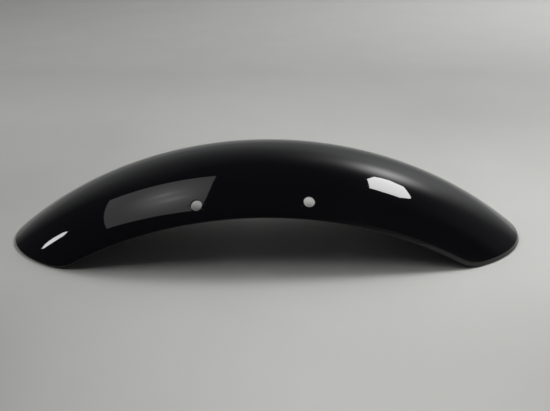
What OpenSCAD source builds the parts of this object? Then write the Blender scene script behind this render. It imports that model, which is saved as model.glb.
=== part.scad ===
// Motorcycle front mudguard: one arched sheet with its edge rolled into a bead.
// X runs from the front tip to the rear tip, Y across, Z up.
// The origin is under the middle, on the plane that both ends stand on.

/* [Shell] */
// Overall length between the two tips, over the rolled edge
shell_l = 455; // [435:1:475]
// Overall width, over the rolled edges
shell_w = 137; // [125:1:145]
// Outer radius of the crown line about the wheel axle
crown_r = 360; // [340:1:380]
// Outer radius of the cross-section
section_r = 85; // [80:1:95]
// Thickness of the sheet
sheet_t = 2; // [1:0.1:2.4]

/* [Rolled edge] */
// Radius of the bead that the edge is rolled into
bead_r = 2; // [1.8:0.1:2.6]
// How far the bead stands out from the sheet's outer face
bead_proud = 0.15; // [0.1:0.05:0.3]
// Radius of the corner between side edge and end, seen from the side
corner_r = 42; // [25:1:60]

/* [Fork bolt holes] */
// Diameter of the holes
hole_d = 9; // [6:0.5:10]
// Distance between the two holes of a side
hole_pitch = 90; // [60:1:110]
// Distance along the shell from its middle forward to the middle of the pair
hole_ahead = 11; // [0:1:30]
// Distance along the sheet from the middle of the bead up to the middle of a hole
hole_rise = 12.8; // [9:0.1:25]

/* [Hidden] */
$fa = 2;
$fs = 0.5;

// Overrun of a cut through the sheet
cut_over = 4;
// Number of arcs that the bead round one end is made of
end_arcs = 6;
// Balls where two arcs of the bead meet, and the gap each arc leaves to the ball's middle
joint_r = 1.02 * bead_r;
joint_gap = sqrt(pow(joint_r, 2) - pow(bead_r, 2)) / 2;
// Height of the bead's middle round the ends, whose balls then stand on the plane
base_z = joint_r;

// The cross-section's centre, and the circle about it that the bead's middle lies on
centre_r = crown_r - section_r;
bead_line_r = section_r - bead_r + bead_proud;
// The side edge, as an angle down from the crown and as a radius about the axle
side_a = asin((shell_w / 2 - bead_r) / bead_line_r);
arch_r = centre_r + bead_line_r * cos(side_a);
// Height of the wheel axle, which is below the plane that the ends stand on
tip_x = shell_l / 2 - bead_r;
axle_z = base_z - sqrt(pow(centre_r + bead_line_r, 2) - pow(tip_x, 2));

// Centre of the corner's arc in the side view, and the angle that the arc turns
corner_z = base_z + corner_r;
corner_x = sqrt(pow(arch_r + corner_r, 2) - pow(corner_z - axle_z, 2));
corner_a = atan2(corner_x, corner_z - axle_z);
// Angle on the cross-section at which the straight stretch of an end begins
end_a = acos((norm([corner_x, base_z - axle_z]) - centre_r) / bead_line_r);
// Height above the bead's middle at which the sheet stops inside the bead
sheet_lift = bead_r / 2;

// Angle of the holes down from the crown, and the radius about the axle at which they sit
hole_a = side_a - hole_rise / section_r * 180 / PI;
hole_r = centre_r + section_r * cos(hole_a);
hole_mid_a = -hole_ahead / hole_r * 180 / PI;
hole_step_a = asin(hole_pitch / 2 / hole_r);

// Point of the corner in the side view, share 0 at the end and 1 at the side, raised by lift
function corner_point(share, lift = 0) =
    let (r = corner_r - lift, a = corner_a * share)
    [corner_x - r * sin(a), corner_z - r * cos(a)];

// Point of the bead's middle above a point of the side view
function on_shell(p) =
    let (depth = norm([p.x, p.y - axle_z]) - centre_r)
    [p.x, sqrt(pow(bead_line_r, 2) - pow(depth, 2)), p.y];

// Point of the bead's middle round the end, at an angle on the cross-section
function end_point(a) =
    let (r = centre_r + bead_line_r * cos(a))
    [sqrt(pow(r, 2) - pow(base_z - axle_z, 2)), bead_line_r * sin(a), base_z];

function unit(v) = v / norm(v);

// Centre of the circle through three points
function circle_centre(a, b, c) =
    let (u = b - a, v = c - a, n = cross(u, v))
    a + ((v * v) * cross(n, u) + (u * u) * cross(v, n)) / (2 * n * n);

// Turns a profile, drawn as radius and width, about the axle to both sides of the crown
module about_axle(half_a)
    translate([0, 0, axle_z])
        rotate([90, 0, 0])
            rotate([0, 0, 90 - half_a])
                rotate_extrude(angle = 2 * half_a)
                    children();

module both_ends() {
    children();
    mirror([1, 0, 0]) children();
}

module both_sides() {
    children();
    mirror([0, 1, 0]) children();
}

// The cross-section: a band of the sheet's thickness from side edge to side edge
module sheet_profile() {
    reach = 2 * section_r;
    translate([centre_r, 0])
        intersection() {
            difference() {
                circle(r = section_r);
                circle(r = section_r - sheet_t);
            }
            polygon([
                [0, 0],
                reach * [cos(side_a), -sin(side_a)],
                reach * [1, -sin(side_a)],
                reach * [1, sin(side_a)],
                reach * [cos(side_a), sin(side_a)]
            ]);
        }
}

// What is cut off below one end, with its rounded corner, so that the sheet stops in the bead
module end_cut() {
    start = corner_point(1, sheet_lift);
    finish = corner_point(0, sheet_lift);
    rotate([90, 0, 0])
        linear_extrude(height = 2 * shell_w, center = true)
            polygon([
                start,
                corner_point(0.5, sheet_lift),
                finish,
                [shell_l, finish.y],
                [shell_l, -shell_l],
                [start.x, -shell_l]
            ]);
}

// A bolt hole, square to the sheet, at an angle along the shell
module bolt_hole(along_a)
    translate([0, 0, axle_z])
        rotate([0, along_a, 0])
            translate([0, 0, centre_r])
                rotate([-hole_a, 0, 0])
                    translate([0, 0, section_r - sheet_t - cut_over])
                        cylinder(h = sheet_t + 2 * cut_over, d = hole_d);

module sheet()
    difference() {
        about_axle(acos(-axle_z / crown_r)) sheet_profile();
        both_ends() end_cut();
        both_sides()
            for (side = [-1, 1])
                bolt_hole(hole_mid_a + side * hole_step_a);
    }

// Bead along the circle from point a through b to c, short of both ends by the joint's gap
module bead_arc(a, b, c) {
    m = circle_centre(a, b, c);
    r = norm(a - m);
    x = unit(a - m);
    z = unit(cross(b - a, c - b));
    y = cross(z, x);
    gap_a = joint_gap / r * 180 / PI;
    turn_a = acos(x * unit(c - m)) - 2 * gap_a;
    multmatrix([[x.x, y.x, z.x, m.x], [x.y, y.y, z.y, m.y], [x.z, y.z, z.z, m.z]])
        rotate([0, 0, gap_a])
            rotate_extrude(angle = turn_a)
                translate([r, 0])
                    circle(r = bead_r);
}

module bead_joint(p) translate(p) sphere(r = joint_r);

// The bead along the two side edges, between the corners
module side_beads()
    about_axle(corner_a - joint_gap / arch_r * 180 / PI)
        for (side = [-1, 1])
            translate([arch_r, side * (shell_w / 2 - bead_r)])
                circle(r = bead_r);

// The bead round one corner, from the side edge to the end
module corner_bead() {
    points = [for (share = [1, 0.5, 0]) on_shell(corner_point(share))];
    bead_arc(points[0], points[1], points[2]);
    bead_joint(points[0]);
    bead_joint(points[2]);
}

// The bead round one end, from corner to corner
module end_bead() {
    step_a = 2 * end_a / end_arcs;
    for (k = [0 : end_arcs - 1]) {
        from_a = end_a - k * step_a;
        bead_arc(end_point(from_a), end_point(from_a - step_a / 2), end_point(from_a - step_a));
        if (k > 0) bead_joint(end_point(from_a));
    }
}

module mudguard()
    color("#0c0c0e") {
        sheet();
        side_beads();
        both_ends() {
            end_bead();
            both_sides() corner_bead();
        }
    }

mudguard();
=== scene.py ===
"""Motorcycle front mudguard in gloss black paint, on a pale floor under soft studio light.

The sheet and its rolled edge are one Geometry Nodes tree that follows the rules of the solid model.
The bolt holes are then let into the mesh, with their edges rounded by the paint.
"""
import math

import bmesh
import bpy
from mathutils import Matrix, Vector


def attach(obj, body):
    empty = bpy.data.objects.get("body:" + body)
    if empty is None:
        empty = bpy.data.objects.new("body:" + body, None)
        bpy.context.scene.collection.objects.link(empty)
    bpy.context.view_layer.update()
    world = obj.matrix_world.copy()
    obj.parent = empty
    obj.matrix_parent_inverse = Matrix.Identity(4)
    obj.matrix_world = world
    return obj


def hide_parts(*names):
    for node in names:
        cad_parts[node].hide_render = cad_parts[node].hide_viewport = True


bl_info = {
    "name": "Motorcycle Front Mudguard",
    "version": (1, 0, 0),
    "blender": (4, 5, 0),
    "location": "3D View > Sidebar > Mudguard",
    "description": "Builds a gloss black front mudguard with a rolled edge, and a small photo studio",
    "category": "Add Mesh",
}

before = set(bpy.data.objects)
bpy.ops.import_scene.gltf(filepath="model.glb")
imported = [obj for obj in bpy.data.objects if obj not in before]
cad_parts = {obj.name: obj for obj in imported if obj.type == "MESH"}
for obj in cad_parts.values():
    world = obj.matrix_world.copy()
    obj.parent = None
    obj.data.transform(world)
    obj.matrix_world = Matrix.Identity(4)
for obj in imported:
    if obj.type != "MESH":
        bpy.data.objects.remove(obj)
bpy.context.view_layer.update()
NODE = "mudguard"

MM = 0.001
WELD = 0.005 * MM

# Rows of the rolled edge, from the outer face round the edge and the bead to the inner face
ROWS_FACE = 3
ROWS_BAND = 8
ROWS_EDGE = 9
ROWS_UNDER = 1
ROWS_LIP = 6
ROWS_BEAD = 6
ROWS_CREASE = 4
# Angle on the profile at which the rounded edge turns under
EDGE_LEAVE = math.radians(-35)
# Radius of the lower lip, as a share of the bead's
LIP_SHARE = 0.6
# Height of the bead's middle round the ends, as a share of the bead's radius
BASE_SHARE = 1.02
# Share of the turned band's width in which it bends
BAND_BEND_SHARE = 0.35
# Turn of the band, as two ramps that add up. Each goes from the first share of half the length to
# the second, and from the third share of the full turn to the fourth
TURN_FRONT_SHARES = (-0.97, -0.84, 0.0, 0.56)
TURN_REAR_SHARES = (0.20, 0.70, 0.0, 0.44)
# Width of the border of the sheet that the rows of the rolled edge start from
BORDER = 8 * MM
# Share of the columns, counted from the crown, that end on the straight stretch of an end
STRAIGHT_SHARE = 0.6

# Points round a hole, steps over its rounded edge, and passes that settle a point on the face
HOLE_POINTS = 64
HOLE_ROUND_STEPS = 4
HOLE_PASSES = 4
# Distances past the rounded edge, to which its first ring reaches and the sheet is opened
HOLE_RING = 0.25 * MM
HOLE_CLEAR = 0.6 * MM

# The paint: depth of the sheet's slow waves, grey of the dust, and shares of dust and haze
WAVE_DEPTH = 0.03 * MM
DUST_GREY = (0.10, 0.10, 0.095)
DUST_SHARE = 0.55
HAZE_SHARE = 0.004
CLEAR_IOR = 1.5

# Corners of the lamps' bright faces, in metres. The key and the screen lie level at the lamps'
# height, with corners in x and y, and the strip stands upright at its own x, in y and z
KEY_CORNERS = ((1.110, 0.240), (1.560, 0.226), (1.750, 0.395), (1.768, 0.505), (1.722, 0.880),
               (1.700, 1.070), (1.478, 1.183), (1.332, 1.148), (1.226, 1.082), (1.100, 0.762))
SCREEN_CORNERS = ((-2.355, -0.952), (-0.963, -1.216), (-0.788, -1.073), (-0.700, -0.703),
                  (-0.626, -0.277), (-0.551, 0.383), (-2.153, 0.780))
STRIP_CORNERS = ((0.030, 1.075), (0.090, 1.030), (0.205, 1.090), (0.240, 1.190), (0.240, 1.290),
                 (0.210, 1.430), (0.140, 1.520), (0.075, 1.520), (0.005, 1.440), (0.000, 1.300))
LAMP_HEIGHT = 2.0
STRIP_X = -2.6
# Width over which a bright face fades out at its border
LAMP_BLUR = 0.008
# Brighter and darker spots on the faces: middle, reach along the axes, and added share
KEY_SPOTS = (((1.34, 0.32, LAMP_HEIGHT), (0.40, 0.022, 1.0), -0.16),)
SCREEN_SPOTS = (((-1.20, -0.26, LAMP_HEIGHT), (0.42, 0.50, 1.0), 1.50),
                ((-1.19, -0.085, LAMP_HEIGHT), (0.17, 0.07, 1.0), 1.0),
                ((-1.09, -0.405, LAMP_HEIGHT), (0.17, 0.09, 1.0), 1.0))
# Fill lamps, which the paint doesn't show: name, middle, width and brightness
FILLS = (("key_fill", (1.40, 0.78, 1.96), 0.75, 14.0),
         ("back_fill", (1.39, 1.71, 1.85), 1.26, 1.05),
         ("left_fill", (-1.50, -0.30, 2.00), 1.4, 1.5),
         ("top_fill", (0.0, 0.0, 2.40), 2.0, 0.35))
# Lobes of the soft glow: azimuth, elevation and width in degrees, and share of its brightness
GLOW_LOBES = ((141.5, 40.0, 5.2, 1.0), (146.0, 29.0, 11.0, 0.15), (158.0, 46.0, 6.0, 0.05))

# The camera: the point it looks at, how far off it stands, and its angles in degrees
CAMERA_AIM = Vector((6.69, 0.0, 25.73)) * MM
CAMERA_DISTANCE = 559.0 * MM
CAMERA_AZIMUTH = 0.14
CAMERA_ELEVATION = 25.66
CAMERA_ROLL = -0.20
# Focal length and width of the photo in its pixels, and width of the sensor in millimetres
FOCAL_PIXELS = 620
PHOTO_PIXELS = 550
SENSOR_WIDTH = 36.0


# Settings

class MudguardSettings(bpy.types.PropertyGroup):
    """Sizes and paint of the mudguard"""
    length: bpy.props.FloatProperty(
        name="Length", description="Overall length over the rolled edge", default=0.455, min=0.3,
        unit="LENGTH")
    width: bpy.props.FloatProperty(
        name="Width", description="Overall width over the rolled edges", default=0.137, min=0.1,
        unit="LENGTH")
    crown_radius: bpy.props.FloatProperty(
        name="Crown Radius", description="Outer radius of the crown line about the wheel axle",
        default=0.360, min=0.2, unit="LENGTH")
    section_radius: bpy.props.FloatProperty(
        name="Section Radius", description="Outer radius of the cross-section", default=0.085,
        min=0.05, unit="LENGTH")
    sheet_thickness: bpy.props.FloatProperty(
        name="Sheet Thickness", description="Thickness of the sheet", default=0.002, min=0.0005,
        unit="LENGTH")
    bead_radius: bpy.props.FloatProperty(
        name="Bead Radius", description="Radius of the bead that the edge is rolled into",
        default=0.002, min=0.001, unit="LENGTH")
    bead_proud: bpy.props.FloatProperty(
        name="Bead Proud", description="How far the bead stands out from the outer face",
        default=0.00015, min=0.0, unit="LENGTH")
    corner_radius: bpy.props.FloatProperty(
        name="Corner Radius", description="Radius of the corner between side edge and end",
        default=0.042, min=0.01, unit="LENGTH")
    edge_radius: bpy.props.FloatProperty(
        name="Edge Radius", description="Radius of the rounded outer corner of the rolled edge",
        default=0.0006, min=0.0002, unit="LENGTH")
    band_width: bpy.props.FloatProperty(
        name="Band Width", description="Width of the band along the edge that is turned in",
        default=0.0037, min=0.001, unit="LENGTH")
    band_turn: bpy.props.FloatProperty(
        name="Band Turn", default=math.radians(24), min=0.0, subtype="ANGLE",
        description="How far the band is turned in at the rear end, where it turns most")
    crease: bpy.props.FloatProperty(
        name="Inner Crease", description="Radius where the bead closes against the inner face",
        default=0.0004, min=0.0001, unit="LENGTH")
    steps_along: bpy.props.IntProperty(
        name="Steps Along", description="Faces along the sheet", default=168, min=24)
    steps_across: bpy.props.IntProperty(
        name="Steps Across", description="Faces across the sheet", default=56, min=12)
    hole_diameter: bpy.props.FloatProperty(
        name="Hole Diameter", description="Diameter of the bolt holes", default=0.009, min=0.004,
        unit="LENGTH")
    hole_pitch: bpy.props.FloatProperty(
        name="Hole Pitch", description="Distance between the two holes of a side", default=0.090,
        min=0.03, unit="LENGTH")
    hole_ahead: bpy.props.FloatProperty(
        name="Holes Ahead", description="How far the pair sits ahead of the middle, along the sheet",
        default=0.011, unit="LENGTH")
    hole_rise: bpy.props.FloatProperty(
        name="Hole Rise", description="Distance from the bead up to the holes, along the sheet",
        default=0.0128, min=0.008, unit="LENGTH")
    hole_round: bpy.props.FloatProperty(
        name="Hole Edge Radius", description="Radius that the paint gives the edges of the holes",
        default=0.0003, min=0.00005, unit="LENGTH")
    paint: bpy.props.FloatVectorProperty(
        name="Paint", description="Colour of the paint", default=(0.0020, 0.0020, 0.0028),
        subtype="COLOR", min=0, max=1)
    gloss_roughness: bpy.props.FloatProperty(
        name="Gloss Roughness", description="Roughness of the paint's clear surface", default=0.025,
        min=0, max=1, subtype="FACTOR")
    peel_depth: bpy.props.FloatProperty(
        name="Peel Depth", description="Depth of the fine ripple that spraying leaves",
        default=0.000002, min=0, unit="LENGTH", precision=6)


class StudioSettings(bpy.types.PropertyGroup):
    """Floor, room and lamps"""
    floor: bpy.props.FloatVectorProperty(
        name="Floor", description="Colour of the floor", default=(0.49, 0.492, 0.472),
        subtype="COLOR", min=0, max=1)
    floor_radius: bpy.props.FloatProperty(
        name="Floor Radius", description="How far the floor reaches", default=6.0, min=1,
        unit="LENGTH")
    room: bpy.props.FloatVectorProperty(
        name="Room", description="Colour of the dim room overhead", default=(0.046, 0.046, 0.051),
        subtype="COLOR", min=0, max=1)
    backdrop: bpy.props.FloatVectorProperty(
        name="Backdrop", description="Colour that the backdrop adds to the room", min=0, max=1,
        default=(0.235, 0.24, 0.235), subtype="COLOR")
    key_radiance: bpy.props.FloatProperty(
        name="Key", description="Brightness of the right-hand soft box", default=13.0, min=0)
    strip_radiance: bpy.props.FloatProperty(
        name="Strip", description="Brightness of the left-hand strip lamp", default=10.5, min=0)
    screen_radiance: bpy.props.FloatProperty(
        name="Screen", description="Brightness of the dim screen on the left", default=0.70, min=0)
    glow_radiance: bpy.props.FloatProperty(
        name="Glow", description="Brightness of the soft glow behind on the right", default=3.6,
        min=0)
    fill_radiance: bpy.props.FloatProperty(
        name="Fill", description="Brightness that the unseen fill lamps add, against the seen ones",
        default=1.0, min=0)


# Node arithmetic

NUMBER = "ShaderNodeMath"
VECTOR = "ShaderNodeVectorMath"


def feed(socket, value):
    """Links a figure to a socket, or sets a plain value on it."""
    if isinstance(value, Figure):
        value.tree.links.new(value.source, socket)
    else:
        socket.default_value = value


def step(kind, operation, output=0, turned=False):
    """A method of Figure that feeds it, and any other value, to one operation of a node."""
    def method(self, *others):
        values = (self, *others)
        node = self.tree.nodes.new(kind)
        node.operation = operation
        for socket, value in zip(node.inputs, reversed(values) if turned else values):
            feed(socket, value)
        return Figure(self.tree, node.outputs[output])
    return method


class Figure:
    """One number or vector in a node tree, so that a rule can be written as plain arithmetic."""

    def __init__(self, tree, source):
        self.tree = tree
        self.source = source

    __add__ = step(NUMBER, "ADD")
    __radd__ = step(NUMBER, "ADD", turned=True)
    __sub__ = step(NUMBER, "SUBTRACT")
    __rsub__ = step(NUMBER, "SUBTRACT", turned=True)
    __mul__ = step(NUMBER, "MULTIPLY")
    __rmul__ = step(NUMBER, "MULTIPLY", turned=True)
    __truediv__ = step(NUMBER, "DIVIDE")
    root = step(NUMBER, "SQRT")
    sine = step(NUMBER, "SINE")
    cosine = step(NUMBER, "COSINE")
    tangent = step(NUMBER, "TANGENT")
    arcsine = step(NUMBER, "ARCSINE")
    arccosine = step(NUMBER, "ARCCOSINE")
    bearing = step(NUMBER, "ARCTAN2")
    exponent = step(NUMBER, "EXPONENT")
    size = step(NUMBER, "ABSOLUTE")
    sign = step(NUMBER, "SIGN")
    lesser = step(NUMBER, "MINIMUM")

    plus = step(VECTOR, "ADD")
    minus = step(VECTOR, "SUBTRACT")
    over = step(VECTOR, "DIVIDE")
    dot = step(VECTOR, "DOT_PRODUCT", output="Value")
    unit = step(VECTOR, "NORMALIZE")

    def __neg__(self):
        return self * -1

    def squared(self):
        return self * self

    def times(self, factor):
        """A vector, stretched by a number."""
        node = self.tree.nodes.new(VECTOR)
        node.operation = "SCALE"
        feed(node.inputs[0], self)
        feed(node.inputs["Scale"], factor)
        return Figure(self.tree, node.outputs[0])

    def ramp(self, start, end, low=0.0, high=1.0):
        """Goes from low to high as this goes from start to end, and stays there beyond."""
        node = self.tree.nodes.new("ShaderNodeMapRange")
        node.clamp = True
        for name, value in zip(("Value", "From Min", "From Max", "To Min", "To Max"),
                               (self, start, end, low, high)):
            feed(node.inputs[name], value)
        return Figure(self.tree, node.outputs["Result"])

    def parts(self):
        """The three numbers of a vector."""
        node = self.tree.nodes.new("ShaderNodeSeparateXYZ")
        feed(node.inputs[0], self)
        return [Figure(self.tree, socket) for socket in node.outputs]


def together(tree, x, y, z):
    """A vector from three numbers."""
    node = tree.nodes.new("ShaderNodeCombineXYZ")
    for socket, value in zip(node.inputs, (x, y, z)):
        feed(socket, value)
    return Figure(tree, node.outputs[0])


def constant(tree, value):
    """A plain number as a figure."""
    node = tree.nodes.new("ShaderNodeValue")
    node.outputs[0].default_value = value
    return Figure(tree, node.outputs[0])


# The shell's rules

SHELL_INPUTS = (
    ("Length", "length"), ("Width", "width"), ("Crown Radius", "crown_radius"),
    ("Section Radius", "section_radius"), ("Sheet Thickness", "sheet_thickness"),
    ("Bead Radius", "bead_radius"), ("Bead Proud", "bead_proud"),
    ("Corner Radius", "corner_radius"), ("Edge Radius", "edge_radius"),
    ("Band Width", "band_width"), ("Band Turn", "band_turn"), ("Inner Crease", "crease"),
)


class ShellRules:
    """The mudguard's derived sizes, as node arithmetic on the tree's inputs."""

    def __init__(self, tree, given):
        self.tree = tree
        self.given = given
        bead = given["Bead Radius"]
        self.base_z = bead * BASE_SHARE
        self.centre_r = given["Crown Radius"] - given["Section Radius"]
        self.line_r = given["Section Radius"] - bead + given["Bead Proud"]
        self.side_a = ((given["Width"] / 2 - bead) / self.line_r).arcsine()
        self.arch_r = self.centre_r + self.line_r * self.side_a.cosine()
        tip_x = given["Length"] / 2 - bead
        crown_line = self.centre_r + self.line_r
        self.axle_z = self.base_z - (crown_line.squared() - tip_x.squared()).root()
        self.base_rise = self.base_z - self.axle_z
        self.corner_rise = self.base_rise + given["Corner Radius"]
        far = self.arch_r + given["Corner Radius"]
        self.corner_x = (far.squared() - self.corner_rise.squared()).root()
        self.corner_a = self.corner_x.bearing(self.corner_rise)
        reach = (self.corner_x.squared() + self.base_rise.squared()).root()
        self.end_a = ((reach - self.centre_r) / self.line_r).arccosine()
        self.end_phi = self.corner_x.bearing(self.base_rise)

    def place(self, around, along, radius):
        """Point at an angle on the cross-section and an angle along the arch."""
        out = self.centre_r + radius * around.cosine()
        return together(self.tree, out * along.sine(), radius * around.sine(),
                        self.axle_z + out * along.cosine())

    def outline(self, across):
        """Angles round and along of the outline, for a share from crown to side edge."""
        end = across.ramp(0.0, STRAIGHT_SHARE)
        corner = across.ramp(STRAIGHT_SHARE, 1.0)
        around_end = end * self.end_a
        out_end = self.centre_r + self.line_r * around_end.cosine()
        along_end = (self.base_rise / out_end).arccosine()
        turn = self.corner_a * corner
        x = self.corner_x - self.given["Corner Radius"] * turn.sine()
        rise = self.corner_rise - self.given["Corner Radius"] * turn.cosine()
        out_corner = (x.squared() + rise.squared()).root()
        around_corner = ((out_corner - self.centre_r) / self.line_r).arccosine()
        along_corner = x.bearing(rise)
        around = around_end + around_corner - self.end_a
        along = along_end + along_corner - self.end_phi
        return around, along, corner

    def edge_frame(self, around, along, tilt):
        """Middle of the bead, and the direction that leads out of the sheet there."""
        middle = self.place(around, along, self.line_r)
        normal = together(self.tree, along.sine() * around.cosine(), around.sine(),
                          along.cosine() * around.cosine())
        cut = together(self.tree, -tilt.sine(), 0.0, -tilt.cosine())
        return middle, cut.minus(normal.times(cut.dot(normal))).unit()

    def angles(self, point):
        """Angle on the cross-section and angle along the arch of a point near the sheet."""
        x, y, z = point.parts()
        rise = z - self.axle_z
        out = (x.squared() + rise.squared()).root()
        return y.bearing(out - self.centre_r), x.bearing(rise)

    def lifted(self, point, height):
        """The point over another, square to the sheet, at a height above the bead's middle."""
        around, along = self.angles(point)
        return self.place(around, along, self.line_r + height)


def edge_profile(rules, row, turn):
    """Distance out and height of a row of the rolled edge, for the band's turn at that place.

    Both count from the bead's middle. The outer face runs into a band that is turned in, then round
    the edge, under it to the bead, round the bead and back to the inner face. The number of rows and
    the heights of the two faces are given too.
    """
    given = rules.given
    leave = constant(rules.tree, EDGE_LEAVE)
    bead, edge, crease = (given[n] for n in ("Bead Radius", "Edge Radius", "Inner Crease"))
    band = given["Band Width"]
    face = bead - given["Bead Proud"]
    inner = face - given["Sheet Thickness"]
    slope = turn.tangent()
    edge_x = bead - edge
    band_start = edge_x + edge * turn.sine() - band
    edge_z = face - band * slope * (1.0 - BAND_BEND_SHARE / 2.0) - edge * turn.cosine()
    crease_out = -(((bead + crease).squared() - (inner - crease).squared()).root())
    meet = -math.pi - (inner - crease).bearing(-crease_out)

    # The lower lip touches the edge's end line and the bead from within
    lip = bead * LIP_SHARE
    line = edge_x * leave.cosine() + edge_z * leave.sine() + edge
    reach = (line - lip) / (bead - lip)
    bead_start = leave - reach.lesser(1.0).arccosine()
    lip_x = (bead - lip) * bead_start.cosine()
    lip_z = (bead - lip) * bead_start.sine()

    counts = (ROWS_FACE, ROWS_BAND, ROWS_EDGE, ROWS_UNDER, ROWS_LIP, ROWS_BEAD, ROWS_CREASE,
              ROWS_FACE)
    ends = [float(sum(counts[:k + 1])) for k in range(len(counts))]

    ease = row.ramp(0.0, ends[0])
    ease = ease * (2.0 - ease)
    out = -BORDER + (band_start + BORDER) * ease
    height = face

    share = row.ramp(ends[0], ends[1])
    bend = share.lesser(BAND_BEND_SHARE)
    out = out + band * share
    height = height - band * slope * (share - bend + bend.squared() / (2.0 * BAND_BEND_SHARE))

    def arc(out, height, radius, first, last, start, finish):
        """Goes on round a circle from one angle to another, between the rows first and last."""
        a = row.ramp(first, last, start, finish)
        return (out + radius * (a.cosine() - start.cosine()),
                height + radius * (a.sine() - start.sine()))

    out, height = arc(out, height, edge, ends[1], ends[2], math.pi / 2 - turn, leave)

    share = row.ramp(ends[2], ends[3])
    out = out + (lip_x - edge_x + (lip - edge) * leave.cosine()) * share
    height = height + (lip_z - edge_z + (lip - edge) * leave.sine()) * share

    out, height = arc(out, height, lip, ends[3], ends[4], leave, bead_start)
    out, height = arc(out, height, bead, ends[4], ends[5], bead_start, meet)
    out, height = arc(out, height, crease, ends[5], ends[6], meet + math.pi, math.pi / 2)

    share = row.ramp(ends[6], ends[7])
    out = out - (crease_out + BORDER) * share.squared()
    return out, height, sum(counts), face, inner


def stored(tree, geometry, name, kind, domain, value):
    """The geometry with a figure kept on it under a name."""
    node = tree.nodes.new("GeometryNodeStoreNamedAttribute")
    node.data_type = kind
    node.domain = domain
    node.inputs["Name"].default_value = name
    tree.links.new(geometry, node.inputs["Geometry"])
    feed(node.inputs["Value"], value)
    return node.outputs["Geometry"]


def named(tree, name, kind):
    """What is kept on the geometry under a name."""
    node = tree.nodes.new("GeometryNodeInputNamedAttribute")
    node.data_type = kind
    node.inputs["Name"].default_value = name
    return Figure(tree, node.outputs["Attribute"])


def moved(tree, geometry, position, selection=True):
    """The geometry with its points, or the selected ones, at a position."""
    node = tree.nodes.new("GeometryNodeSetPosition")
    tree.links.new(geometry, node.inputs["Geometry"])
    feed(node.inputs["Position"], position)
    feed(node.inputs["Selection"], selection)
    return node.outputs["Geometry"]


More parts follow.
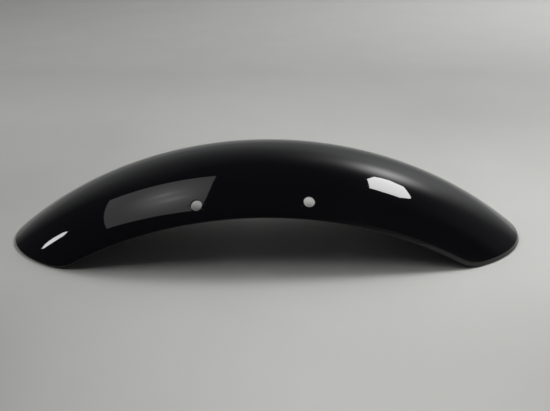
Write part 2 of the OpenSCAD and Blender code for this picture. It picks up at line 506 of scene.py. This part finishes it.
def shell_tree(settings):
    """The tree that makes the sheet and its rolled edge as one closed surface."""
    tree = bpy.data.node_groups.new("Mudguard Shell", "GeometryNodeTree")
    sockets = tree.interface
    for name, prop in SHELL_INPUTS:
        socket = sockets.new_socket(name, in_out="INPUT", socket_type="NodeSocketFloat")
        socket.subtype = "ANGLE" if name == "Band Turn" else "DISTANCE"
        socket.default_value = getattr(settings, prop)
    for name, prop in (("Steps Along", "steps_along"), ("Steps Across", "steps_across")):
        socket = sockets.new_socket(name, in_out="INPUT", socket_type="NodeSocketInt")
        socket.default_value = getattr(settings, prop)
    sockets.new_socket("Paint", in_out="INPUT", socket_type="NodeSocketMaterial")
    sockets.new_socket("Geometry", in_out="OUTPUT", socket_type="NodeSocketGeometry")

    entry = tree.nodes.new("NodeGroupInput")
    given = {name: Figure(tree, entry.outputs[name]) for name, _ in SHELL_INPUTS}
    rules = ShellRules(tree, given)

    # A flat grid, whose x is the share along and y the share across
    grid = tree.nodes.new("GeometryNodeMeshGrid")
    grid.inputs["Size X"].default_value = 2.0
    grid.inputs["Size Y"].default_value = 2.0
    feed(grid.inputs["Vertices X"], Figure(tree, entry.outputs["Steps Along"]) + 1.0)
    feed(grid.inputs["Vertices Y"], Figure(tree, entry.outputs["Steps Across"]) + 1.0)
    share_along, share_across, _ = Figure(
        tree, tree.nodes.new("GeometryNodeInputPosition").outputs[0]).parts()
    side = share_across.sign()
    around, along, corner = rules.outline(share_across.size())

    # The bead's middle and the way out of the sheet, kept on the points for the edge's rows
    middle, out = rules.edge_frame(around * side, along * share_along,
                                   rules.corner_a * corner * share_along)
    flat = stored(tree, grid.outputs["Mesh"], "edge_middle", "FLOAT_VECTOR", "POINT", middle)
    flat = stored(tree, flat, "edge_out", "FLOAT_VECTOR", "POINT", out)

    # The sheet up to its border, which lies a fixed width inside the outline
    end_middle, end_out = rules.edge_frame(around, along, rules.corner_a * corner)
    inset = end_middle.minus(end_out.times(BORDER))
    around_in, along_in = rules.angles(inset)
    around_in, along_in = around_in * side, along_in * share_along

    # The band isn't turned in at the front tip, and is turned in most towards the rear end
    half_length = given["Length"] / 2.0
    rearward = named(tree, "edge_middle", "FLOAT_VECTOR").parts()[0] / half_length
    turn = given["Band Turn"] * (rearward.ramp(*TURN_FRONT_SHARES)
                                 + rearward.ramp(*TURN_REAR_SHARES))
    row = named(tree, "row", "FLOAT")
    out_by, height_by, rows, face, inner = edge_profile(rules, row, turn)
    outer = moved(tree, flat, rules.place(around_in, along_in, rules.line_r + face))
    lining = moved(tree, flat, rules.place(around_in, along_in, rules.line_r + inner))
    flip = tree.nodes.new("GeometryNodeFlipFaces")
    tree.links.new(lining, flip.inputs[0])

    # The rolled edge: the border's edges are drawn out row by row round the bead
    neighbours = tree.nodes.new("GeometryNodeInputMeshEdgeNeighbors")
    border = tree.nodes.new("FunctionNodeCompare")
    border.data_type = "INT"
    border.operation = "EQUAL"
    tree.links.new(neighbours.outputs[0], border.inputs[2])
    border.inputs[3].default_value = 1
    outer = stored(tree, outer, "rim", "BOOLEAN", "EDGE", Figure(tree, border.outputs[0]))

    start = tree.nodes.new("GeometryNodeRepeatInput")
    end = tree.nodes.new("GeometryNodeRepeatOutput")
    start.pair_with_output(end)
    start.inputs["Iterations"].default_value = rows
    tree.links.new(outer, start.inputs["Geometry"])
    count = Figure(tree, start.outputs["Iteration"]) + 1.0

    draw = tree.nodes.new("GeometryNodeExtrudeMesh")
    draw.mode = "EDGES"
    draw.inputs["Offset Scale"].default_value = 0.0
    tree.links.new(start.outputs["Geometry"], draw.inputs["Mesh"])
    feed(draw.inputs["Selection"], named(tree, "rim", "BOOLEAN"))
    top = Figure(tree, draw.outputs["Top"])
    grown = stored(tree, draw.outputs["Mesh"], "rim", "BOOLEAN", "EDGE", top)
    grown = stored(tree, grown, "row", "FLOAT", "POINT", count)
    way = named(tree, "edge_out", "FLOAT_VECTOR")
    spot = named(tree, "edge_middle", "FLOAT_VECTOR").plus(way.times(out_by))
    grown = moved(tree, grown, rules.lifted(spot, height_by), named(tree, "rim", "BOOLEAN"))
    tree.links.new(grown, end.inputs["Geometry"])

    join = tree.nodes.new("GeometryNodeJoinGeometry")
    tree.links.new(end.outputs["Geometry"], join.inputs[0])
    tree.links.new(flip.outputs[0], join.inputs[0])
    weld = tree.nodes.new("GeometryNodeMergeByDistance")
    weld.inputs["Distance"].default_value = WELD
    tree.links.new(join.outputs[0], weld.inputs["Geometry"])
    smooth = tree.nodes.new("GeometryNodeSetShadeSmooth")
    tree.links.new(weld.outputs["Geometry"], smooth.inputs["Geometry"])
    real = tree.nodes.new("GeometryNodeRealizeInstances")
    tree.links.new(smooth.outputs["Geometry"], real.inputs["Geometry"])
    coat = tree.nodes.new("GeometryNodeSetMaterial")
    tree.links.new(real.outputs["Geometry"], coat.inputs["Geometry"])
    tree.links.new(entry.outputs["Paint"], coat.inputs["Material"])
    exit_node = tree.nodes.new("NodeGroupOutput")
    tree.links.new(coat.outputs["Geometry"], exit_node.inputs["Geometry"])
    return tree


def grown_mesh(name, tree, values):
    """Runs a tree on an empty mesh with the given inputs, and returns the result as a plain mesh."""
    seed = bpy.data.objects.new(name + "_seed", bpy.data.meshes.new(name + "_seed"))
    bpy.context.scene.collection.objects.link(seed)
    modifier = seed.modifiers.new(name, "NODES")
    modifier.node_group = tree
    for item in tree.interface.items_tree:
        if item.in_out == "INPUT" and item.name in values:
            modifier[item.identifier] = values[item.name]
    seed.update_tag()
    depsgraph = bpy.context.evaluated_depsgraph_get()
    mesh = bpy.data.meshes.new_from_object(seed.evaluated_get(depsgraph))
    seed.modifiers.clear()
    bpy.data.objects.remove(seed)
    mesh.name = name
    return mesh


# The bolt holes

class SheetPlaces:
    """The same sizes as plain numbers, for the holes."""

    def __init__(self, s):
        self.centre_r = s.crown_radius - s.section_radius
        line_r = s.section_radius - s.bead_radius + s.bead_proud
        tip_x = s.length / 2 - s.bead_radius
        base_z = BASE_SHARE * s.bead_radius
        self.axle_z = base_z - math.sqrt((self.centre_r + line_r) ** 2 - tip_x ** 2)
        side_a = math.asin((s.width / 2 - s.bead_radius) / line_r)
        self.hole_a = side_a - s.hole_rise / s.section_radius
        radius = self.centre_r + s.section_radius * math.cos(self.hole_a)
        middle = -s.hole_ahead / radius
        half_step = math.asin(s.hole_pitch / 2 / radius)
        self.hole_along = (middle - half_step, middle + half_step)
        self.outer_level = s.section_radius
        self.inner_level = s.section_radius - s.sheet_thickness
        self.mid_level = (self.outer_level + self.inner_level) / 2

    def place(self, around, along, radius):
        """Point at an angle on the cross-section and an angle along the arch."""
        out = self.centre_r + radius * math.cos(around)
        return Vector((out * math.sin(along), radius * math.sin(around),
                       self.axle_z + out * math.cos(along)))

    def depth(self, point):
        """Distance of a point from the middle of the cross-section, and the way out from it."""
        out = Vector((point.x, 0, point.z - self.axle_z))
        core = out.normalized() * self.centre_r
        away = Vector((point.x, point.y, point.z - self.axle_z)) - core
        return away.length, away.normalized()


def hole_ring(bm, places, centre, axes, radius, level, rise=0.0):
    """A ring of points about a hole, on the face at that level or with a rise above it."""
    right, ahead, up = axes
    ring = []
    for k in range(HOLE_POINTS):
        a = 2 * math.pi * k / HOLE_POINTS
        point = centre + right * (radius * math.cos(a)) + ahead * (radius * math.sin(a))
        for _ in range(HOLE_PASSES):
            far, way = places.depth(point)
            point += up * ((level - far) / way.dot(up))
        ring.append(bm.verts.new(point + up * rise))
    return ring


def bridge(bm, first, second):
    """Faces between two rings of equal count."""
    for k in range(len(first)):
        n = (k + 1) % len(first)
        bm.faces.new((first[k], first[n], second[n], second[k])).smooth = True


def short_turn(a):
    """An angle as the same turn between half a turn back and half a turn ahead."""
    return (a + math.pi) % (2 * math.pi) - math.pi


def unwound(points, angle, start):
    """Angles of the points of a loop, each counted on from the one before."""
    found = [start + short_turn(angle(points[0]) - start)]
    for v in points[1:] + points[:1]:
        found.append(found[-1] + short_turn(angle(v) - found[-1]))
    return found


def zip_rings(bm, loop, ring, angle):
    """Triangles between a border of any count and a ring, both in the order of their angle."""
    first = angle(loop[0])
    shift = min(range(len(ring)), key=lambda k: abs(short_turn(angle(ring[k]) - first)))
    ring = ring[shift:] + ring[:shift]
    outer, inner = unwound(loop, angle, first), unwound(ring, angle, first)
    i = j = 0
    while i < len(loop) or j < len(ring):
        a, b = loop[i % len(loop)], ring[j % len(ring)]
        if j == len(ring) or (i < len(loop) and outer[i + 1] <= inner[j + 1]):
            i += 1
            bm.faces.new((a, loop[i % len(loop)], b)).smooth = True
        else:
            j += 1
            bm.faces.new((a, ring[j % len(ring)], b)).smooth = True


def border_loops(bm):
    """The open borders of a mesh, each as a list of points in order."""
    loose = dict.fromkeys(e for e in bm.edges if len(e.link_faces) == 1)
    loops = []
    while loose:
        edge = next(iter(loose))
        del loose[edge]
        loop = [edge.verts[0], edge.verts[1]]
        while True:
            following = next((e for e in loop[-1].link_edges if e in loose), None)
            if following is None:
                break
            del loose[following]
            loop.append(following.other_vert(loop[-1]))
        loops.append(loop[:-1] if loop[0] == loop[-1] else loop)
    return loops


def hole_spots(places):
    """The middle of each hole, half way through the sheet, and its axes: right, ahead and up."""
    spots = []
    for side in (-1, 1):
        for along in places.hole_along:
            around = side * places.hole_a
            up = (places.place(around, along, places.outer_level)
                  - places.place(around, along, 0.0)).normalized()
            right = Vector((math.cos(along), 0, -math.sin(along)))
            middle = places.place(around, along, places.mid_level)
            spots.append((middle, (right, up.cross(right), up)))
    return spots


def open_sheet(bm, spots, clear):
    """Takes away the faces that have a point within that distance of a hole's axis."""
    near = set()
    for centre, (_, _, up) in spots:
        for v in bm.verts:
            away = v.co - centre
            if away.length < 2 * clear and (away - up * away.dot(up)).length < clear:
                near.add(v)
    doomed = [face for face in bm.faces if not near.isdisjoint(face.verts)]
    bmesh.ops.delete(bm, geom=doomed, context="FACES")


def line_hole(bm, loop, places, spots, s):
    """Joins a border of the opened sheet to the rounded edge of its hole and half of the wall."""
    middle = sum((v.co for v in loop), Vector()) / len(loop)
    centre, axes = min(spots, key=lambda spot: (spot[0] - middle).length)
    right, ahead, up = axes

    def angle(v):
        away = v.co - centre
        return math.atan2(away.dot(ahead), away.dot(right))

    turned = unwound(loop, angle, 0.0)
    if turned[-1] < turned[0]:
        loop.reverse()

    outside = (middle - centre).dot(up) > 0
    level = places.outer_level if outside else places.inner_level
    inward = -s.hole_round if outside else s.hole_round
    radius = s.hole_diameter / 2
    rings = [hole_ring(bm, places, centre, axes, radius + s.hole_round + HOLE_RING, level)]
    for k in range(HOLE_ROUND_STEPS + 1):
        a = math.pi / 2 * k / HOLE_ROUND_STEPS
        rings.append(hole_ring(bm, places, centre, axes, radius + s.hole_round * (1 - math.sin(a)),
                               level, inward * (1 - math.cos(a))))
    rings.append(hole_ring(bm, places, centre, axes, radius, places.mid_level))
    zip_rings(bm, loop, rings[0], angle)
    for first, second in zip(rings, rings[1:]):
        bridge(bm, first, second)


def let_in_holes(mesh, s):
    """Opens the four bolt holes in the sheet's two faces and joins their walls."""
    places = SheetPlaces(s)
    spots = hole_spots(places)
    bm = bmesh.new()
    bm.from_mesh(mesh)
    open_sheet(bm, spots, s.hole_diameter / 2 + s.hole_round + HOLE_CLEAR)
    for loop in border_loops(bm):
        line_hole(bm, loop, places, spots, s)
    bmesh.ops.remove_doubles(bm, verts=bm.verts, dist=WELD)
    bmesh.ops.recalc_face_normals(bm, faces=bm.faces)
    open_edges = sum(1 for e in bm.edges if len(e.link_faces) != 2)
    bm.to_mesh(mesh)
    bm.free()
    if open_edges:
        raise RuntimeError(f"the mudguard's surface has {open_edges} open edges")
    for name in ("edge_middle", "edge_out", "rim", "row"):
        if name in mesh.attributes:
            mesh.attributes.remove(mesh.attributes[name])


# The paint

def black_paint(s):
    """Gloss black paint: a dark base under a clear surface, with fine ripple, haze and dust."""
    material = bpy.data.materials.new("gloss_black_paint")
    material.use_nodes = True
    tree = material.node_tree
    shader = tree.nodes["Principled BSDF"]
    shader.inputs["Specular IOR Level"].default_value = 0.0
    shader.inputs["IOR"].default_value = CLEAR_IOR
    shader.inputs["Coat Weight"].default_value = 1.0
    shader.inputs["Coat IOR"].default_value = CLEAR_IOR
    shader.inputs["Coat Roughness"].default_value = s.gloss_roughness

    where = tree.nodes.new("ShaderNodeTexCoord").outputs["Object"]

    def noise(scale, detail, roughness=0.5):
        """Smooth noise that stays fixed to the object."""
        node = tree.nodes.new("ShaderNodeTexNoise")
        node.inputs["Scale"].default_value = scale
        node.inputs["Detail"].default_value = detail
        node.inputs["Roughness"].default_value = roughness
        tree.links.new(where, node.inputs["Vector"])
        return Figure(tree, node.outputs["Fac"])

    # Haze left by wiping, broad and faint, and dust that has settled in tiny specks
    haze = noise(scale=22.0, detail=4.0, roughness=0.6).ramp(0.42, 0.75)
    specks = tree.nodes.new("ShaderNodeTexVoronoi")
    specks.inputs["Scale"].default_value = 95.0
    specks.inputs["Randomness"].default_value = 1.0
    tree.links.new(where, specks.inputs["Vector"])
    sparse = noise(scale=60.0, detail=1.0).ramp(0.62, 0.66)
    dust = Figure(tree, specks.outputs["Distance"]).ramp(0.018, 0.034, 1.0, 0.0) * sparse

    base = tree.nodes.new("ShaderNodeMix")
    base.data_type = "RGBA"
    colours = [socket for socket in base.inputs if socket.type == "RGBA"]
    colours[0].default_value = (*s.paint, 1.0)
    colours[1].default_value = (*DUST_GREY, 1.0)
    feed(base.inputs["Factor"], dust * DUST_SHARE + haze * HAZE_SHARE)
    mixed = next(socket for socket in base.outputs if socket.type == "RGBA")
    tree.links.new(mixed, shader.inputs["Base Color"])
    feed(shader.inputs["Roughness"], haze.ramp(0.0, 1.0, 0.30, 0.42))

    # Fine ripple of sprayed paint over the slow waves of pressed sheet
    ripple = tree.nodes.new("ShaderNodeBump")
    ripple.inputs["Distance"].default_value = s.peel_depth
    feed(ripple.inputs["Height"], noise(scale=420.0, detail=2.0))
    waves = tree.nodes.new("ShaderNodeBump")
    waves.inputs["Distance"].default_value = WAVE_DEPTH
    feed(waves.inputs["Height"], noise(scale=28.0, detail=1.0))
    tree.links.new(waves.outputs["Normal"], ripple.inputs["Normal"])
    tree.links.new(ripple.outputs["Normal"], shader.inputs["Normal"])
    tree.links.new(ripple.outputs["Normal"], shader.inputs["Coat Normal"])
    return material


# The studio

def floor_material(s):
    """Matt paper with a faint grain, with painted light and shade in broad tones over it."""
    material = bpy.data.materials.new("floor_paper")
    material.use_nodes = True
    tree = material.node_tree
    shader = tree.nodes["Principled BSDF"]
    shader.inputs["Roughness"].default_value = 0.75
    shader.inputs["Specular IOR Level"].default_value = 0.25
    grain = tree.nodes.new("ShaderNodeTexNoise")
    grain.inputs["Scale"].default_value = 9.0
    grain.inputs["Detail"].default_value = 6.0
    where = Figure(tree, tree.nodes.new("ShaderNodeTexCoord").outputs["Object"])
    feed(grain.inputs["Vector"], where)
    shade = Figure(tree, grain.outputs["Fac"]).ramp(0.2, 0.8, 0.97, 1.03)

    # x is metres to the right and y metres to the back. The paper's tone carries painted light and
    # shade: it falls off behind the object and comes back further off, it is lighter on the right,
    # towards the lamps, and it is darker at both sides in front
    x, y, _ = where.parts()
    depth = y.ramp(-0.05, 0.60, 1.09, 0.78) + y.ramp(0.6, 1.5, 0.0, 0.20)
    near_painted_light = x.ramp(-0.25, 0.25, -0.20, 0.20) * y.ramp(0.05, 0.35, 1.0, 0.0)
    far_painted_light = x.ramp(-0.80, 0.80, -0.12, 0.12) * y.ramp(0.5, 1.3)
    front_painted_shade = (x.squared().ramp(0.0, 0.04) * y.ramp(-0.22, -0.08, 0.28, 0.07)
                   * y.ramp(-1.2, -0.3) * y.ramp(0.3, 0.7, 1.0, 0.0))
    # The paper's own grain, times the painted light and shade
    shade = shade * (depth + near_painted_light + far_painted_light - front_painted_shade)
    feed(shader.inputs["Base Color"], together(tree, *s.floor).times(shade))
    return material


def make_floor(s):
    """A round level floor under the object."""
    bm = bmesh.new()
    bmesh.ops.create_circle(bm, cap_ends=True, radius=s.floor_radius, segments=96)
    mesh = bpy.data.meshes.new("floor")
    bm.to_mesh(mesh)
    bm.free()
    mesh.materials.append(floor_material(s))
    floor = bpy.data.objects.new("floor", mesh)
    bpy.context.scene.collection.objects.link(floor)


def direction(azimuth, elevation):
    """Way to a place in the room: azimuth 0 is the front, 90 the right, 180 behind."""
    a, e = math.radians(azimuth), math.radians(elevation)
    return Vector((math.sin(a) * math.cos(e), -math.cos(a) * math.cos(e), math.sin(e)))


def make_room(s):
    """A dim room with a pale backdrop behind the object and a soft glow on its right."""
    world = bpy.data.worlds.new("room")
    bpy.context.scene.world = world
    world.use_nodes = True
    tree = world.node_tree
    background = tree.nodes["Background"]
    way = Figure(tree, tree.nodes.new("ShaderNodeTexCoord").outputs["Generated"])
    x, y, z = way.parts()

    def lobe(azimuth, elevation, width):
        """A round glow that fades out smoothly from a place in the room."""
        away = 1.0 - way.dot(tuple(direction(azimuth, elevation)))
        return (away * (-1.0 / math.radians(width) ** 2)).exponent()

    # The backdrop is brightest straight behind, and a weaker part of it reaches round to the right
    across = y / (x.squared() + y.squared()).root()
    back = across.ramp(0.50, 0.78) * 0.75 + across.ramp(-0.10, 0.10, 0.0, 0.25) * x.ramp(-0.8, 0.0)
    # It fades out upwards, higher up on the right, and is brighter just over the horizon
    wall = back * z.ramp(x.ramp(-0.3, 0.3, 0.35, 0.50), x.ramp(-0.3, 0.3, 0.85, 0.93), 1.0, 0.0)
    wall = wall + back * z.ramp(0.0, 0.22, 0.45, 0.0)
    # The wall in front on the right is pale too, low down
    wall = wall + z.ramp(0.05, 0.45, 0.8, 0.05) * x.ramp(0.1, 0.4) * y.ramp(-0.5, -0.2, 1.0, 0.0)
    light = together(tree, *s.backdrop).times(wall)
    glow = s.glow_radiance * sum(share * lobe(*place) for *place, share in GLOW_LOBES)
    light = light.plus(together(tree, glow, glow, glow)).plus(together(tree, *s.room))
    feed(background.inputs["Color"], light)
    background.inputs["Strength"].default_value = 1.0


def stand(name, data, centre, turn):
    """A lamp or camera at a place, with its own axes in the columns of a matrix."""
    thing = bpy.data.objects.new(name, data)
    bpy.context.scene.collection.objects.link(thing)
    thing.matrix_world = Matrix.Translation(centre) @ turn.to_4x4()
    return thing


def make_lamp(name, corners, radiance, spots=()):
    """A flat lamp whose bright face is the polygon between the corners, turned to the object.

    A spot is brighter or darker about a place: its middle, its reach along the axes, and its share.
    """
    corners = [Vector(c) for c in corners]
    middle = sum(corners, Vector()) / len(corners)
    back = (corners[1] - corners[0]).cross(corners[2] - corners[1]).normalized()
    if back.dot(middle) < 0:
        back.negate()
    right = (corners[1] - corners[0]).normalized()
    up = back.cross(right)
    spans = [[(c - middle).dot(way) for c in corners] for way in (right, up)]
    centre = middle + sum((way * (min(span) + max(span)) / 2
                           for way, span in zip((right, up), spans)), Vector())
    size = [max(span) - min(span) for span in spans]

    light = bpy.data.lights.new(name, "AREA")
    light.shape = "RECTANGLE"
    light.size, light.size_y = size
    light.energy = radiance * math.pi * size[0] * size[1]
    light.use_nodes = True
    tree = light.node_tree
    place = Figure(tree, tree.nodes.new("ShaderNodeNewGeometry").outputs["Position"])
    strength = 1.0
    for start, end in zip(corners, corners[1:] + corners[:1]):
        inward = back.cross(end - start).normalized()
        if inward.dot(middle - start) < 0:
            inward.negate()
        inside = place.minus(tuple(start)).dot(tuple(inward))
        strength = strength * inside.ramp(0.0, LAMP_BLUR)
    shade = 1.0
    for spot, reach, share in spots:
        offset = place.minus(spot).over(reach)
        shade = shade + share * (-offset.dot(offset)).exponent()
    feed(tree.nodes["Emission"].inputs["Strength"], strength * shade)
    lamp = stand(name, light, centre, Matrix((right, up, back)).transposed())
    lamp.visible_camera = False


def make_fill(name, centre, size, radiance):
    """A square lamp that lights the object and the floor and isn't seen in the paint."""
    light = bpy.data.lights.new(name, "AREA")
    light.shape = "SQUARE"
    light.size = size
    light.energy = radiance * math.pi * size * size
    centre = Vector(centre)
    lamp = stand(name, light, centre, centre.to_track_quat("Z", "Y").to_matrix())
    lamp.visible_camera = False
    lamp.visible_glossy = False


def make_camera():
    """The photo's viewing angle: a steady lens, turned a touch about its own axis."""
    back = direction(CAMERA_AZIMUTH, CAMERA_ELEVATION)
    right = Vector((0, 0, 1)).cross(back).normalized()
    up = back.cross(right)
    roll = math.radians(CAMERA_ROLL)
    right, up = (right * math.cos(roll) + up * math.sin(roll),
                 up * math.cos(roll) - right * math.sin(roll))
    data = bpy.data.cameras.new("camera")
    data.sensor_fit = "HORIZONTAL"
    data.sensor_width = SENSOR_WIDTH
    data.lens = SENSOR_WIDTH * FOCAL_PIXELS / PHOTO_PIXELS
    data.clip_start = 0.01
    data.clip_end = 50.0
    bpy.context.scene.camera = stand("camera", data, CAMERA_AIM + back * CAMERA_DISTANCE,
                                     Matrix((right, up, back)).transposed())


# Operators

class MUDGUARD_OT_shell(bpy.types.Operator):
    """Make the mudguard: sheet, rolled edge and bolt holes, painted black"""
    bl_idname = "mudguard.shell"
    bl_label = "Make Mudguard"

    def execute(self, context):
        s = context.scene.mudguard
        values = {name: getattr(s, prop) for name, prop in SHELL_INPUTS}
        values.update({"Steps Along": s.steps_along, "Steps Across": s.steps_across,
                       "Paint": black_paint(s)})
        mesh = grown_mesh("mudguard_shell", shell_tree(s), values)
        let_in_holes(mesh, s)
        mesh.materials.clear()
        mesh.materials.append(values["Paint"])
        mesh.polygons.foreach_set("material_index", [0] * len(mesh.polygons))
        piece = bpy.data.objects.new("mudguard_shell", mesh)
        context.scene.collection.objects.link(piece)
        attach(piece, "root")
        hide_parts(NODE)
        return {"FINISHED"}


class MUDGUARD_OT_studio(bpy.types.Operator):
    """Set up the floor, the room, the lamps and the camera"""
    bl_idname = "mudguard.studio"
    bl_label = "Set Up Studio"

    def execute(self, context):
        s = context.scene.mudguard_studio
        context.scene.view_settings.view_transform = "Standard"
        make_floor(s)
        make_room(s)
        make_lamp("key_soft_box", [(x, y, LAMP_HEIGHT) for x, y in KEY_CORNERS], s.key_radiance,
                  KEY_SPOTS)
        make_lamp("dim_screen", [(x, y, LAMP_HEIGHT) for x, y in SCREEN_CORNERS],
                  s.screen_radiance, SCREEN_SPOTS)
        make_lamp("strip_lamp", [(STRIP_X, y, z) for y, z in STRIP_CORNERS], s.strip_radiance)
        for name, middle, width, radiance in FILLS:
            make_fill(name, middle, width, radiance * s.fill_radiance)
        make_camera()
        return {"FINISHED"}


class MUDGUARD_PT_panel(bpy.types.Panel):
    """Sizes, paint and studio"""
    bl_idname = "MUDGUARD_PT_panel"
    bl_label = "Mudguard"
    bl_space_type = "VIEW_3D"
    bl_region_type = "UI"
    bl_category = "Mudguard"

    def draw(self, context):
        layout = self.layout
        for settings, operator in ((context.scene.mudguard, MUDGUARD_OT_shell.bl_idname),
                                   (context.scene.mudguard_studio, MUDGUARD_OT_studio.bl_idname)):
            box = layout.box()
            box.operator(operator)
            for name in settings.bl_rna.properties.keys():
                if name not in ("rna_type", "name"):
                    box.prop(settings, name)


CLASSES = (MudguardSettings, StudioSettings, MUDGUARD_OT_shell, MUDGUARD_OT_studio,
           MUDGUARD_PT_panel)


def register():
    for cls in CLASSES:
        bpy.utils.register_class(cls)
    bpy.types.Scene.mudguard = bpy.props.PointerProperty(type=MudguardSettings)
    bpy.types.Scene.mudguard_studio = bpy.props.PointerProperty(type=StudioSettings)


def unregister():
    del bpy.types.Scene.mudguard_studio
    del bpy.types.Scene.mudguard
    for cls in reversed(CLASSES):
        bpy.utils.unregister_class(cls)


def main():
    register()
    bpy.ops.mudguard.shell()
    bpy.ops.mudguard.studio()
    bpy.context.view_layer.update()


if __name__ == "__main__":
    main()
